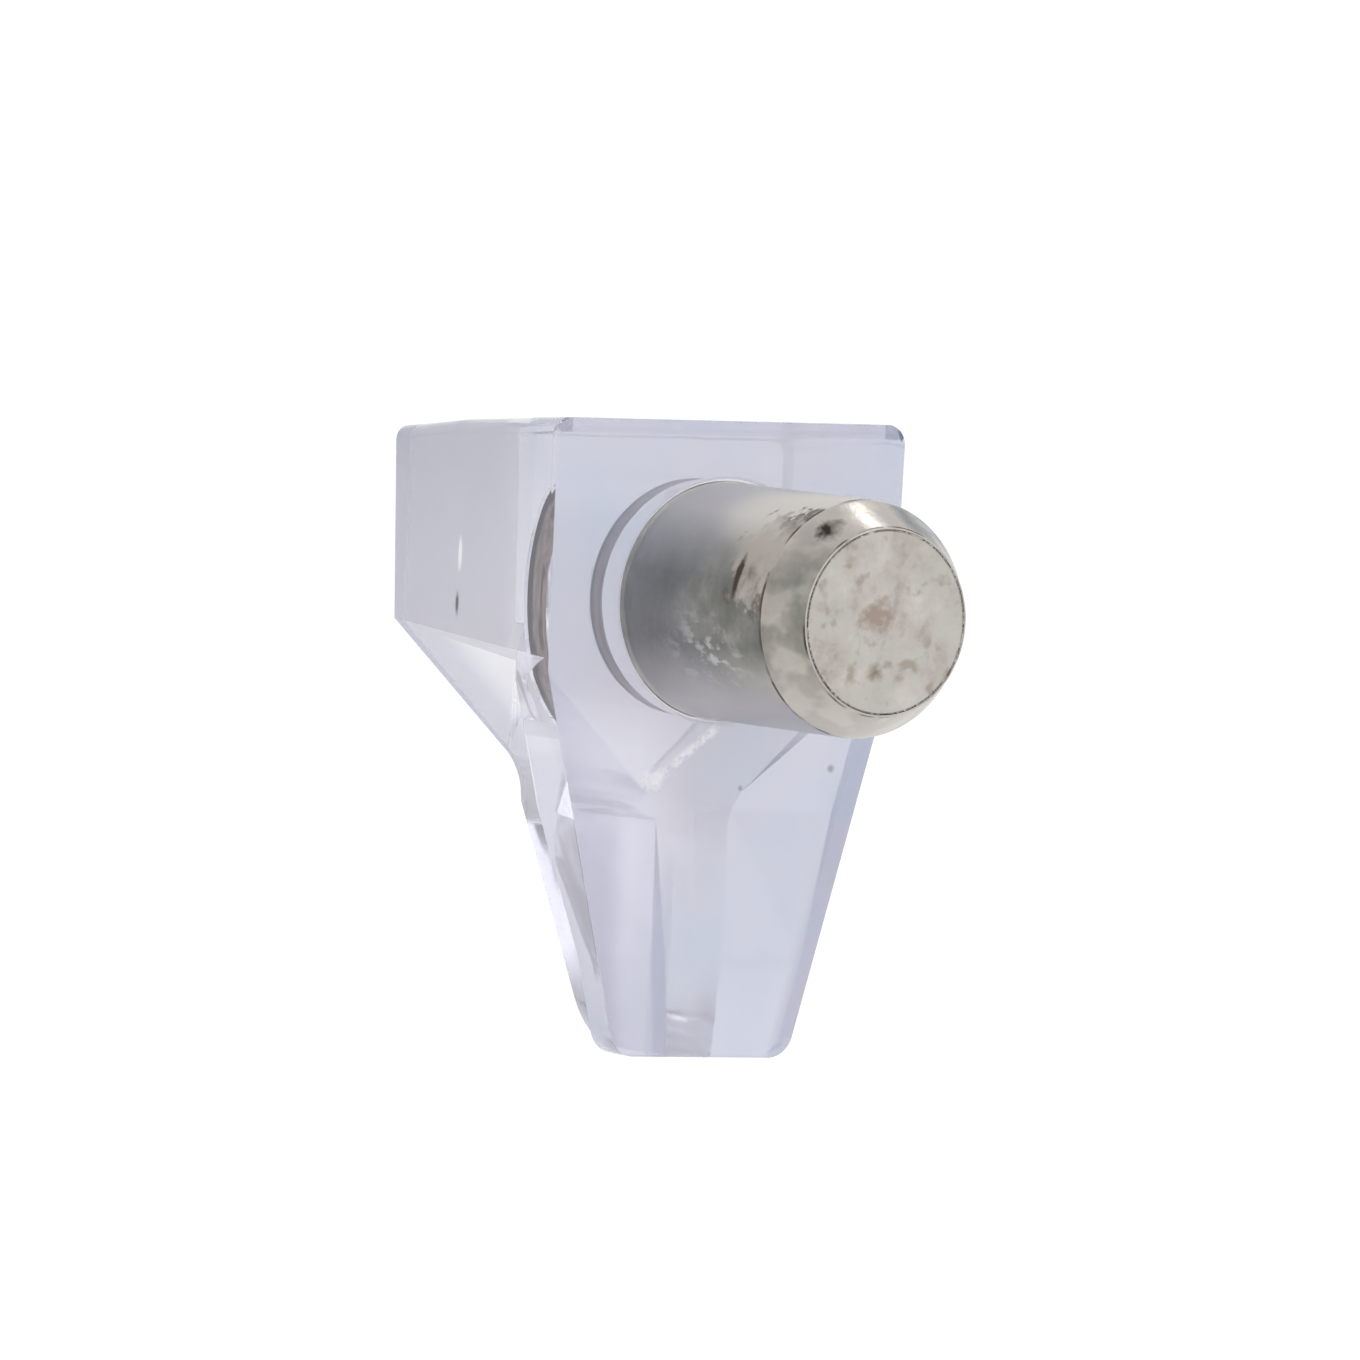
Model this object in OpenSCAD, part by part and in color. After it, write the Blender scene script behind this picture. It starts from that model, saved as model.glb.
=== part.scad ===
// Shelf support pin: a clear moulded support body with a steel pin seated in it.
// The origin is on the pin's axis, at the face of the body that meets the cabinet side.
// The pin points along -Y into the cabinet, the ledge reaches along +Y, and +Z is up.

/* [Face plate] */
// Width of the plate at its top edge
plate_top_w = 8.64; // [7.5:0.02:10]
// Width of the plate where its sides start to run in
plate_mid_w = 8.5; // [7.4:0.02:10]
// Width of the plate at its foot
plate_foot_w = 4.26; // [3:0.02:6]
// Height of the plate's top edge above the pin's axis
plate_top_h = 3.79; // [3.4:0.01:5]
// Depth below the pin's axis at which the sides start to run in
plate_waist_d = 1.54; // [0.8:0.01:2.5]
// Depth of the plate's foot below the pin's axis
plate_foot_d = 9.62; // [8:0.01:12]
// Thickness of the plate behind the pin
plate_t = 1.4; // [1:0.05:1.9]
// Thickness of the plate at its foot
foot_t = 0.8; // [0.6:0.05:1]
// Radius of the plate's four corners
plate_corner_r = 0.45; // [0.2:0.05:0.8]

/* [Ledge] */
// Depth of the ledge at its upper rear edge
ledge_depth = 7.05; // [6:0.05:8.5]
// Fall of the ledge's top toward the rear, in degrees
top_draft = 4.2; // [1:0.1:5]
// Lean of the ledge's rear face, in degrees
rear_draft = 3.6; // [1:0.1:5]
// Draft of the body's sides, in degrees
side_draft = 2.7; // [0.5:0.1:4]
// Length of the eased nose at the rear of the ledge's top
nose_l = 2.7; // [1:0.1:4]
// Extra fall of the ledge's top along the nose
nose_drop = 0.1; // [0.05:0.01:0.5]

/* [Keel] */
// Slope of the two underside faces from level, in degrees
keel_slope = 44; // [35:1:52]
// Distance of the underside faces from the pin's axis, at the cabinet face
keel_reach = 3.88; // [3.4:0.01:4.5]
// Draft of the underside faces, in degrees
keel_draft = 4.2; // [1:0.1:6]

/* [Rib] */
// Width of the rib where it leaves the keel
rib_top_w = 1.9; // [1.2:0.02:2.6]
// Width of the rib at the plate's foot
rib_foot_w = 1.16; // [0.8:0.02:1.6]
// Depth of the rib, from the cabinet face, at the plate's foot
rib_foot_depth = 3.85; // [2.5:0.05:4.5]
// Radius of the rib's lower rear corner
rib_corner_r = 1; // [0.4:0.05:1.4]
// Draft of the rib, in degrees
rib_draft = 2; // [0.5:0.1:4]

/* [Pin] */
// Diameter of the pin
pin_d = 5; // [3:0.1:5.2]
// Length of the pin outside the body, tip included
pin_out = 6.36; // [5:0.02:9]
// Length of the pin inside the body
pin_in = 2.3; // [1.5:0.05:4]
// Length of the pin's tapered tip
tip_l = 0.94; // [0.4:0.02:1.6]
// Amount by which the tip's radius comes in
tip_in = 0.53; // [0.2:0.01:0.8]
// Length and width of the small bevel at the pin's inner end
inner_bevel = 0.15; // [0.05:0.01:0.3]
// Distance from the cabinet face back to the groove that locks the pin in the body
groove_in = 0.1; // [0.05:0.05:0.3]
// Length of the groove
groove_l = 0.65; // [0.55:0.05:0.9]
// Depth of the groove
groove_depth = 0.2; // [0.17:0.01:0.5]
// Radial clearance between the pin and its bore
bore_gap = 0.02; // [0.01:0.005:0.05]

/* [Hidden] */
$fn = 96;
corner_steps = 8;
// Reach of the blocks that the slanted faces cut from
cut = 40;
// Overlap that carries one shape into the next
lap = 0.4;
pin_r = pin_d / 2;
bore_r = pin_r + bore_gap;
groove_end = groove_in + groove_l;
top_fall = tan(top_draft);
rear_lean = tan(rear_draft);
nose_y = ledge_depth - nose_l;
// Lean of the body's sides between the top and the waist, and their distance from the pin's axis
side_lean = atan((plate_top_w - plate_mid_w) / 2 / (plate_top_h + plate_waist_d));
side_reach = plate_mid_w / 2 * cos(side_lean) + plate_waist_d * sin(side_lean);
ledge_top_h = plate_top_h - ledge_depth * top_fall - nose_drop;
// Height where the keel's two faces would meet, at the cabinet face
keel_tip_d = keel_reach / cos(keel_slope);
// Height where the keel's faces run into the rib
keel_end_d = keel_tip_d - rib_top_w / 2 * tan(keel_slope);
// Height where the keel's faces would meet at the leaning rear face, and how far back that is
keel_fall = tan(keel_draft);
rear_tip_d = (keel_reach - keel_fall * (ledge_depth - ledge_top_h * rear_lean))
    / (cos(keel_slope) - keel_fall * rear_lean);
rear_tip_y = ledge_depth - (ledge_top_h + rear_tip_d) * rear_lean;
rib_taper = atan((rib_top_w - rib_foot_w) / 2 / (plate_foot_d - keel_end_d));
// Half width that the rib would have level with the pin's axis
rib_axis_half_w = rib_top_w / 2 + keel_end_d * tan(rib_taper);
// Depth below the axis at which the plate has thinned to its foot's thickness
thin_d = keel_end_d + (plate_foot_d - keel_end_d) * 0.6;

// Points of the arc of radius r that rounds the corner p between its two neighbours
function corner_arc(before, p, after, r) =
    let (
        u = (before - p) / norm(before - p),
        v = (after - p) / norm(after - p),
        half = acos(u * v) / 2,
        centre = p + (u + v) / norm(u + v) * r / sin(half),
        from = p + u * r / tan(half) - centre,
        start = atan2(from[1], from[0]),
        side = sign(u[0] * v[1] - u[1] * v[0]),
        sweep = side * (180 - 2 * half)
    )
    r == 0 ? [p] : [
        for (i = [0:corner_steps])
            let (a = start - sweep * i / corner_steps)
            centre + r * [cos(a), sin(a)]
    ];

// Outline with each corner rounded by its own radius
function rounded(points, radii) =
    let (n = len(points))
    [
        for (i = [0:n - 1])
            each corner_arc(points[(i + n - 1) % n], points[i], points[(i + 1) % n], radii[i])
    ];

// Outline in X and Z, carried back from the cabinet face
module along_pin(depth) {
    rotate([90, 0, 0])
        translate([0, 0, -depth])
            linear_extrude(depth)
                children();
}

// Outline in Y and Z, carried across the width
module across(width) {
    rotate([90, 0, 90])
        translate([0, 0, -width / 2])
            linear_extrude(width)
                children();
}

// All that lies inside a face whose outward direction is at angle a in X and Z,
// reach away from the pin's axis at the cabinet face, drawing in toward the rear
module inside_face(a, reach, draft) {
    rotate([0, -a, 0])
        translate([reach, 0, 0])
            rotate([0, 0, draft])
                translate([-cut, -cut / 2, -cut / 2])
                    cube(cut);
}

// All that lies between the body's two drafted sides
module between_sides() {
    intersection() {
        inside_face(-side_lean, side_reach, side_draft);
        inside_face(180 + side_lean, side_reach, side_draft);
    }
}

module plate_outline() {
    half_top = plate_top_w / 2;
    half_mid = plate_mid_w / 2;
    half_foot = plate_foot_w / 2;
    polygon(rounded(
        [
            [-half_top, plate_top_h], [half_top, plate_top_h],
            [half_mid, -plate_waist_d], [half_foot, -plate_foot_d],
            [-half_foot, -plate_foot_d], [-half_mid, -plate_waist_d]
        ],
        [plate_corner_r, plate_corner_r, 0, plate_corner_r, plate_corner_r, 0]
    ));
}

// The plate, left long at the front, top and sides
module face_plate() {
    across(plate_top_w + 2) polygon([
        [-1, plate_top_h + 1], [plate_t, plate_top_h + 1],
        [plate_t, -keel_end_d], [foot_t, -thin_d],
        [foot_t, -plate_foot_d - 1], [-1, -plate_foot_d - 1]
    ]);
}

// The ledge and its keel, left long at the top, rear and sides
module ledge_block() {
    low = keel_tip_d + 1;
    intersection() {
        across(plate_top_w + 3) polygon([
            [lap, plate_top_h + 2], [ledge_depth + 1, plate_top_h + 2],
            [ledge_depth + 1, -low], [lap, -low]
        ]);
        inside_face(keel_slope - 90, keel_reach, keel_draft);
        inside_face(-keel_slope - 90, keel_reach, keel_draft);
    }
}

// Side view of the body: sloping top, eased nose, leaning rear face
module body_profile() {
    low = plate_foot_d + 2;
    polygon([
        [-1, plate_top_h + top_fall], [nose_y, plate_top_h - nose_y * top_fall],
        [ledge_depth, ledge_top_h], [ledge_depth - (ledge_top_h + low) * rear_lean, -low],
        [-1, -low]
    ]);
}

module plate_and_ledge() {
    intersection() {
        union() {
            face_plate();
            ledge_block();
        }
        along_pin(ledge_depth + 1) plate_outline();
        across(plate_top_w + 4) body_profile();
        between_sides();
    }
}

module rib() {
    intersection() {
        across(rib_top_w + 2) polygon(rounded(
            [
                [lap, -plate_waist_d], [rear_tip_y, -plate_waist_d], [rear_tip_y, -rear_tip_d],
                [rib_foot_depth, -plate_foot_d], [lap, -plate_foot_d]
            ],
            [0, 0, 0, rib_corner_r, 0]
        ));
        inside_face(-rib_taper, rib_axis_half_w * cos(rib_taper), rib_draft);
        inside_face(180 + rib_taper, rib_axis_half_w * cos(rib_taper), rib_draft);
    }
}

module support_body() {
    color([0.8, 0.81, 0.86, 0.55])
        difference() {
            union() {
                plate_and_ledge();
                rib();
            }
            rotate([-90, 0, 0])
                translate([0, 0, -1])
                    cylinder(r = bore_r, h = pin_in + 1);
        }
}

module steel_pin() {
    color([0.5, 0.5, 0.47])
        rotate([90, 0, 0])
            rotate_extrude()
                polygon([
                    [0, -pin_in], [pin_r - inner_bevel, -pin_in], [pin_r, inner_bevel - pin_in],
                    [pin_r, -groove_end], [pin_r - groove_depth, -groove_end],
                    [pin_r - groove_depth, -groove_in], [pin_r, -groove_in],
                    [pin_r, pin_out - tip_l], [pin_r - tip_in, pin_out], [0, pin_out]
                ]);
}

support_body();
steel_pin();
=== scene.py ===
"""A clear moulded shelf support with a nickel-plated steel pin.

The moulding is cut from blocks, joined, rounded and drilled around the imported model's pin and
body, the pin is turned from its profile, and a small studio stands round them.
"""

import math

import bpy
from mathutils import Matrix, Vector


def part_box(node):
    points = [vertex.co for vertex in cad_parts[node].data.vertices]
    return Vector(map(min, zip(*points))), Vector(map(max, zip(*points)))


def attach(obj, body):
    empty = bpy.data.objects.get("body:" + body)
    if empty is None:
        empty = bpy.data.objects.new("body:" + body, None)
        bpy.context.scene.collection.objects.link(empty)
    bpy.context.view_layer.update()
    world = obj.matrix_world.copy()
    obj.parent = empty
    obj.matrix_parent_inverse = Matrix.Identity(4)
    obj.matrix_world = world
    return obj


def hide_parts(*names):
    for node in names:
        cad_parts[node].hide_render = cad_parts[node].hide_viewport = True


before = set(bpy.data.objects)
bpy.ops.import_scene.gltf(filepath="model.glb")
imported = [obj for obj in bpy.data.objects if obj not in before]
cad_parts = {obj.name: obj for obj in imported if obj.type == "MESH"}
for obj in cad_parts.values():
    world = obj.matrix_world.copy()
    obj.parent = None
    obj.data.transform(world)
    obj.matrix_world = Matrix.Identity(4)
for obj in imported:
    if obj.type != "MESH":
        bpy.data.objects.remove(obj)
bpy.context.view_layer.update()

bl_info = {
    "name": "Clear shelf support",
    "version": (1, 0, 0),
    "blender": (4, 5, 0),
    "location": "View3D > Sidebar > Shelf support",
    "description": "Models a clear moulded shelf support with a steel pin, and its studio",
    "category": "Add Mesh",
}

MM = 0.001
BODY_LOW, BODY_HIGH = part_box("support_body")
PIN_LOW, PIN_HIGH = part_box("steel_pin")
LEFT_AND_RIGHT = (-1, 1)
# the ledge and the rib start this far behind the plate's front face, inside the plate
LAP = 0.2 * MM
# a finish on the plate's front face fades out between these depths, in mm
FRONT = (0.04, 0.03)
# the clear plastic lets through this much, and is this rough, before any haze or wear
CLEARNESS, POLISH = 0.9, 0.04
# each softbox: its name, its place and its width in metres, and its power in watts
SOFTBOXES = (
    ("top_softbox", (0.17, 0.14, 0.38), 0.07, 0.06),
    ("front_softbox", (0.12, -0.35, 0.26), 0.3, 0.34),
)
# the softboxes face this point of the part
LIT_POINT = Vector((0, 0, -2 * MM))
# light bounces this often between the faces of clear plastic before it leaves
BOUNCES = 32

# ---------------------------------------------------------------------------------------------
# Sizes and colours that a user may change


def length(name, description, default):
    """A length property in metres, whose default is given in millimetres."""
    return bpy.props.FloatProperty(
        name=name, description=description, default=default * MM, min=0.0,
        precision=5, subtype="DISTANCE", unit="LENGTH",
    )


def degrees(name, description, default):
    """An angle property, whose default is given in degrees."""
    return bpy.props.FloatProperty(
        name=name, description=description, default=math.radians(default),
        subtype="ANGLE", unit="ROTATION",
    )


def share(name, description, default):
    """A plain number property from 0 to 1."""
    return bpy.props.FloatProperty(
        name=name, description=description, default=default, min=0.0, max=1.0,
    )


def colour(name, description, default):
    """A colour property, whose default is an sRGB hex value."""
    return bpy.props.FloatVectorProperty(
        name=name, description=description, default=linear(default)[:3], size=3,
        min=0.0, max=1.0, subtype="COLOR",
    )


def linear(hex_value):
    """The linear RGBA of an sRGB hex value such as "c8cad6"."""
    channels = (int(hex_value[i:i + 2], 16) / 255 for i in (0, 2, 4))
    return tuple(
        c / 12.92 if c <= 0.04045 else ((c + 0.055) / 1.055) ** 2.4 for c in channels
    ) + (1.0,)


class MouldingSizes(bpy.types.PropertyGroup):
    """Sizes of the clear moulding that its box doesn't give."""

    plate_mid_w: length("Plate width at the waist", "Where the sides start to run in", 8.5)
    plate_foot_w: length("Plate width at the foot", "Width of the plate's foot", 4.26)
    plate_waist_d: length("Waist depth", "Depth of the waist below the pin's axis", 1.54)
    plate_t: length("Plate thickness", "Thickness of the plate behind the pin", 1.4)
    foot_t: length("Foot thickness", "Thickness of the plate at its foot", 0.8)
    plate_corner_r: length("Plate corner radius", "Radius of the plate's corners", 0.45)
    top_draft: degrees("Fall of the top", "Fall of the ledge's top toward the rear", 4.2)
    rear_draft: degrees("Lean of the rear", "Lean of the ledge's rear face", 3.6)
    side_draft: degrees("Side draft", "Draft of the body's sides", 2.7)
    rib_draft: degrees("Rib draft", "Draft of the rib", 2.0)
    nose_l: length("Nose length", "Length of the eased nose at the rear of the top", 2.7)
    nose_drop: length("Nose drop", "Extra fall of the top along the nose", 0.1)
    keel_slope: degrees("Keel slope", "Slope of the two underside faces", 44.0)
    keel_reach: length("Keel reach", "Distance of the underside from the pin's axis", 3.88)
    keel_draft: degrees("Keel draft", "Draft of the underside faces", 4.2)
    rib_top_w: length("Rib width", "Width of the rib where it leaves the keel", 1.9)
    rib_foot_w: length("Rib foot width", "Width of the rib at the foot", 1.16)
    rib_foot_depth: length("Rib foot depth", "Depth of the rib at the foot", 3.85)
    rib_corner_r: length("Rib corner radius", "Radius of the rib's lower rear corner", 1.0)
    bore_r: length("Bore radius", "Radius of the blind bore that holds the pin", 2.52)
    shoulder_r: length("Ledge edge radius", "Rounding of the ledge's two upper edges", 0.3)
    root_l: length("Keel blend", "Reach of the blend between the keel and the rib", 0.45)
    edge_r: length("Edge rounding", "Rounding of the moulding's other edges", 0.1)
    mouth_r: length("Bore mouth", "Rounding of the bore's mouth", 0.12)
    grip_start: length("Grip start", "Depth at which the plastic starts to grip the pin", 1.3)
    grip: length("Grip", "Press of the plastic into the pin's surface", 0.008)


class PinSizes(bpy.types.PropertyGroup):
    """Sizes of the steel pin that its box doesn't give."""

    tip_l: length("Tip length", "Length of the tapered tip", 0.94)
    tip_in: length("Tip taper", "Amount by which the tip's radius comes in", 0.53)
    groove_in: length("Groove start", "Distance of the groove behind the cabinet face", 0.1)
    groove_l: length("Groove length", "Length of the groove that locks the pin", 0.65)
    groove_depth: length("Groove depth", "Depth of the groove", 0.2)
    inner_bevel: length("Inner bevel", "Bevel at the pin's inner end", 0.15)
    tip_ease: length("Tip easing", "Rounding of the tip's edges", 0.08)
    dent_w: length("Dent width", "Width of the end face's dents", 0.35)
    dent_depth: length("Dent depth", "Depth of the end face's dents", 0.02)


class StageSettings(bpy.types.PropertyGroup):
    """Camera and studio."""

    azimuth: degrees("Azimuth", "Turn of the camera round the part", -32.07)
    elevation: degrees("Elevation", "Height angle of the camera", 3.07)
    roll: degrees("Roll", "Lean of the camera about its own axis", 2.96)
    distance: length("Distance", "Distance of the camera from the part", 500.0)
    lens: bpy.props.FloatProperty(name="Lens", description="Focal length in mm", default=630.0)
    look_at: bpy.props.FloatVectorProperty(
        name="Look at", description="Point at the frame's middle, in mm",
        default=(-0.758, 0.367, -1.702), size=3)
    floor_gap: length("Floor gap", "Height of the part's foot above the floor", 8.0)
    room: share("Room", "Brightness of the room on the eye's side", 0.9)
    ambient: share("Ambient", "Brightness of the even light", 1.0)


class Finishes(bpy.types.PropertyGroup):
    """Colours of the finishes."""

    skin_cool: colour("Cool skin", "Cool tint of the plate's face", "b2b9cd")
    skin_warm: colour("Warm skin", "Warm tint of the plate's face", "bdbacb")
    # painted light: this paler tint lights the face's lower left
    skin_lit_low: colour("Low skin", "Tint of the plate's face below the pin, at the left", "d3d2e3")
    side_cool: colour("Cool flank", "Cool tint of the ledge's sides", "9a9fb4")
    side_warm: colour("Warm flank", "Warm tint of the ledge's sides", "adacbc")
    # painted light: this paler tint lights the ledge's sides below the pin
    side_lit_low: colour("Low flank", "Tint of the ledge's sides below the pin", "c4c2d3")
    # painted shade: the rear tint darkens the faces away from the plate
    core: colour("Core tint", "Tint of the other faces near the plate", "f4f3fb")
    rear: colour("Rear tint", "Tint of the other faces away from the plate", "c0bfce")
    plating_dark: colour("Dark plating", "Darkest tint of the pin's plating", "656561")
    plating_mid: colour("Plating", "Middle tint of the pin's plating", "747470")
    plating_light: colour("Light plating", "Lightest tint of the pin's plating", "898884")
    tip_dark: colour("Dark tip", "Darkest tint of the worn tip", "7c7c77")
    tip_mid: colour("Tip", "Middle tint of the worn tip", "8f8d86")
    tip_light: colour("Light tip", "Lightest tint of the worn tip", "a5a099")
    end_dark: colour("Dark end", "Darkest tint of the tarnished end face", "9a928c")
    end_mid: colour("End face", "Middle tint of the tarnished end face", "b8b1ab")
    end_light: colour("Light end", "Lightest tint of the tarnished end face", "cac6c1")


# ---------------------------------------------------------------------------------------------
# Modelling tools


def deselect():
    """Leaves every object deselected, in object mode."""
    if bpy.context.object and bpy.context.object.mode != "OBJECT":
        bpy.ops.object.mode_set(mode="OBJECT")
    bpy.ops.object.select_all(action="DESELECT")


def make_active(piece):
    """Selects only this piece."""
    deselect()
    piece.select_set(True)
    bpy.context.view_layer.objects.active = piece


def settle(piece):
    """Moves the piece's place, turn and size into its mesh."""
    make_active(piece)
    bpy.ops.object.transform_apply(location=True, rotation=True, scale=True)


def apply_modifier(piece, kind, **settings):
    """Adds a modifier with these settings and applies it."""
    make_active(piece)
    modifier = piece.modifiers.new(kind.title(), kind)
    for key, value in settings.items():
        setattr(modifier, key, value)
    bpy.ops.object.modifier_apply(modifier=modifier.name)


def block(name, low, high):
    """A box between two corners, at its place."""
    deselect()
    middle = [(a + b) / 2 for a, b in zip(low, high)]
    bpy.ops.mesh.primitive_cube_add(size=1, location=middle)
    piece = bpy.context.object
    piece.name = piece.data.name = name
    piece.scale = [b - a for a, b in zip(low, high)]
    settle(piece)
    return piece


def cut_off(piece, point, outward):
    """Cuts off all of the piece that lies on the outward side of a plane."""
    make_active(piece)
    bpy.ops.object.mode_set(mode="EDIT")
    bpy.ops.mesh.select_all(action="SELECT")
    bpy.ops.mesh.bisect(
        plane_co=point, plane_no=outward, use_fill=True, clear_outer=True,
        threshold=1e-7,
    )
    bpy.ops.object.mode_set(mode="OBJECT")


def cut_across(piece, height):
    """Cuts a level line right round the piece, so that what lies below can be moved."""
    make_active(piece)
    bpy.ops.object.mode_set(mode="EDIT")
    bpy.ops.mesh.select_all(action="SELECT")
    bpy.ops.mesh.bisect(plane_co=(0, 0, height), plane_no=(0, 0, 1), threshold=1e-7)
    bpy.ops.object.mode_set(mode="OBJECT")


def pick_points(piece, wanted):
    """Selects the piece's points for which wanted(place) is true, and nothing else."""
    make_active(piece)
    bpy.ops.object.mode_set(mode="EDIT")
    bpy.ops.mesh.select_mode(type="VERT")
    bpy.ops.mesh.select_all(action="DESELECT")
    bpy.ops.object.mode_set(mode="OBJECT")
    for point in piece.data.vertices:
        point.select = bool(wanted(point.co))
    bpy.ops.object.mode_set(mode="EDIT")


def pick_edges(piece, wanted):
    """Selects the piece's edges for which wanted(end, other end) is true, and nothing else."""
    make_active(piece)
    bpy.ops.object.mode_set(mode="EDIT")
    bpy.ops.mesh.select_mode(type="EDGE")
    bpy.ops.mesh.select_all(action="DESELECT")
    bpy.ops.object.mode_set(mode="OBJECT")
    places = [point.co for point in piece.data.vertices]
    chosen = 0
    for edge in piece.data.edges:
        edge.select = bool(wanted(*(places[i] for i in edge.vertices)))
        chosen += edge.select
    bpy.ops.object.mode_set(mode="EDIT")
    if not chosen:
        raise RuntimeError(f"no edge of {piece.name} was found to round")


def pick_faces(piece, wanted):
    """Selects the faces for which wanted(middle, outward direction) is true, and no others."""
    make_active(piece)
    bpy.ops.object.mode_set(mode="EDIT")
    bpy.ops.mesh.select_mode(type="FACE")
    bpy.ops.mesh.select_all(action="DESELECT")
    bpy.ops.object.mode_set(mode="OBJECT")
    for patch in piece.data.polygons:
        patch.select = bool(wanted(patch.center, patch.normal))
    bpy.ops.object.mode_set(mode="EDIT")


def round_edges(piece, wanted, radius, segments):
    """Rounds the edges that pick_edges finds."""
    pick_edges(piece, wanted)
    bpy.ops.mesh.bevel(offset=radius, offset_type="OFFSET", segments=segments,
                       affect="EDGES", clamp_overlap=False)
    bpy.ops.object.mode_set(mode="OBJECT")


def combine(piece, other, operation):
    """Joins the other piece to this one, or cuts it away, and removes the other piece."""
    apply_modifier(piece, "BOOLEAN", object=other, operation=operation, solver="EXACT")
    bpy.data.objects.remove(other, do_unlink=True)


def tidy_faces(piece):
    """Merges doubled points and joins the flat pieces of each face."""
    make_active(piece)
    bpy.ops.object.mode_set(mode="EDIT")
    bpy.ops.mesh.select_all(action="SELECT")
    bpy.ops.mesh.remove_doubles(threshold=1e-6)
    bpy.ops.mesh.dissolve_limited(angle_limit=math.radians(0.3))
    bpy.ops.object.mode_set(mode="OBJECT")


def turned(profile):
    """A closed round piece about Y through (place along Y, radius) pairs."""
    deselect()
    place, size = profile[0]
    bpy.ops.mesh.primitive_circle_add(
        vertices=192, radius=size, fill_type="NGON", location=(0, place, 0),
        rotation=(math.pi / 2, 0, 0),
    )
    piece = bpy.context.object
    settle(piece)
    bpy.ops.object.mode_set(mode="EDIT")
    bpy.ops.mesh.select_all(action="SELECT")
    for next_place, next_size in profile[1:]:
        bpy.ops.mesh.extrude_region_move(
            TRANSFORM_OT_translate={"value": (0, next_place - place, 0)}
        )
        ratio = next_size / size
        bpy.ops.transform.resize(value=(ratio, 1, ratio), center_override=(0, next_place, 0))
        place, size = next_place, next_size
    bpy.ops.object.mode_set(mode="OBJECT")
    point_outward(piece)
    return piece


def point_outward(piece):
    """Turns all of the piece's faces outward."""
    make_active(piece)
    bpy.ops.object.mode_set(mode="EDIT")
    bpy.ops.mesh.select_all(action="SELECT")
    bpy.ops.mesh.normals_make_consistent(inside=False)
    bpy.ops.object.mode_set(mode="OBJECT")


def smooth(piece, angle):
    """Shades the piece smooth below an angle in degrees, and keeps its flat faces flat."""
    make_active(piece)
    bpy.ops.object.shade_smooth_by_angle(angle=math.radians(angle))
    apply_modifier(piece, "WEIGHTED_NORMAL", weight=50, keep_sharp=True)


def near(value, target, slack=0.02 * MM):
    """Whether two lengths agree within the slack."""
    return abs(value - target) <= slack


def both(test, end, other):
    """Whether the test holds at both ends of an edge."""
    return test(end) and test(other)


# ---------------------------------------------------------------------------------------------
# The moulding


def lean_outward(angle, draft):
    """Outward direction of a drafted face that looks along angle in X and Z."""
    return Vector((
        math.cos(angle) * math.cos(draft), math.sin(draft), math.sin(angle) * math.cos(draft)
    ))


def cut_sides(piece, sizes):
    """Cuts the body's two drafted sides, which lean in a little from the top to the waist."""
    half_top, half_mid = BODY_HIGH.x, sizes.plate_mid_w / 2
    lean = math.atan((half_top - half_mid) / (BODY_HIGH.z + sizes.plate_waist_d))
    for side in LEFT_AND_RIGHT:
        angle = -lean if side > 0 else math.pi + lean
        cut_off(piece, (side * half_mid, 0, -sizes.plate_waist_d),
                lean_outward(angle, sizes.side_draft))


def keel_depths(sizes):
    """(depth of the keel where it meets the rib, depth and set-back of its tip at the rear face,
    height of the rear face's upper edge)."""
    tip = sizes.keel_reach / math.cos(sizes.keel_slope)
    end = tip - sizes.rib_top_w / 2 * math.tan(sizes.keel_slope)
    depth = BODY_HIGH.y
    rear_top = BODY_HIGH.z - depth * math.tan(sizes.top_draft) - sizes.nose_drop
    lean, fall = math.tan(sizes.rear_draft), math.tan(sizes.keel_draft)
    rear_tip = (sizes.keel_reach - fall * (depth - rear_top * lean)) / (
        math.cos(sizes.keel_slope) - fall * lean
    )
    return end, rear_tip, depth - (rear_top + rear_tip) * lean, rear_top


def cut_ledge(sizes):
    """The ledge and its keel: sides and underside faces, left long at the top and rear."""
    spare = 0.5 * MM
    below_keel = -8 * MM
    reach = BODY_HIGH.x + spare
    ledge = block("ledge", (-reach, LAP, below_keel),
                  (reach, BODY_HIGH.y + spare, BODY_HIGH.z + spare))
    cut_sides(ledge, sizes)
    for side in LEFT_AND_RIGHT:
        slope = -math.pi / 2 + side * sizes.keel_slope
        point = Vector((math.cos(slope), 0, math.sin(slope))) * sizes.keel_reach
        cut_off(ledge, point, lean_outward(slope, sizes.keel_draft))
    return ledge


def cut_rib(sizes, keel_end, rear_tip, rear_y):
    """The rib behind the foot, left long at the rear face."""
    spare = 0.3 * MM
    foot = -BODY_LOW.z
    taper = math.atan((sizes.rib_top_w - sizes.rib_foot_w) / 2 / (foot - keel_end))
    axis_half = sizes.rib_top_w / 2 + keel_end * math.tan(taper)
    reach = 2 * MM
    rib = block("rib", (-reach, LAP, -foot),
                (reach, BODY_HIGH.y + spare, -sizes.plate_waist_d))
    for side in LEFT_AND_RIGHT:
        angle = -taper if side > 0 else math.pi + taper
        point = Vector((math.cos(angle), 0, math.sin(angle))) * axis_half * math.cos(taper)
        cut_off(rib, point, lean_outward(angle, sizes.rib_draft))
    run = Vector((0, sizes.rib_foot_depth - rear_y, -(foot - rear_tip)))
    cut_off(rib, (0, rear_y, -rear_tip), Vector((0, -run.z, run.y)))
    round_edges(
        rib, lambda a, b: both(lambda p: near(p.z, -foot) and p.y > 3 * MM, a, b),
        sizes.rib_corner_r, 8,
    )
    return rib


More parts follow.
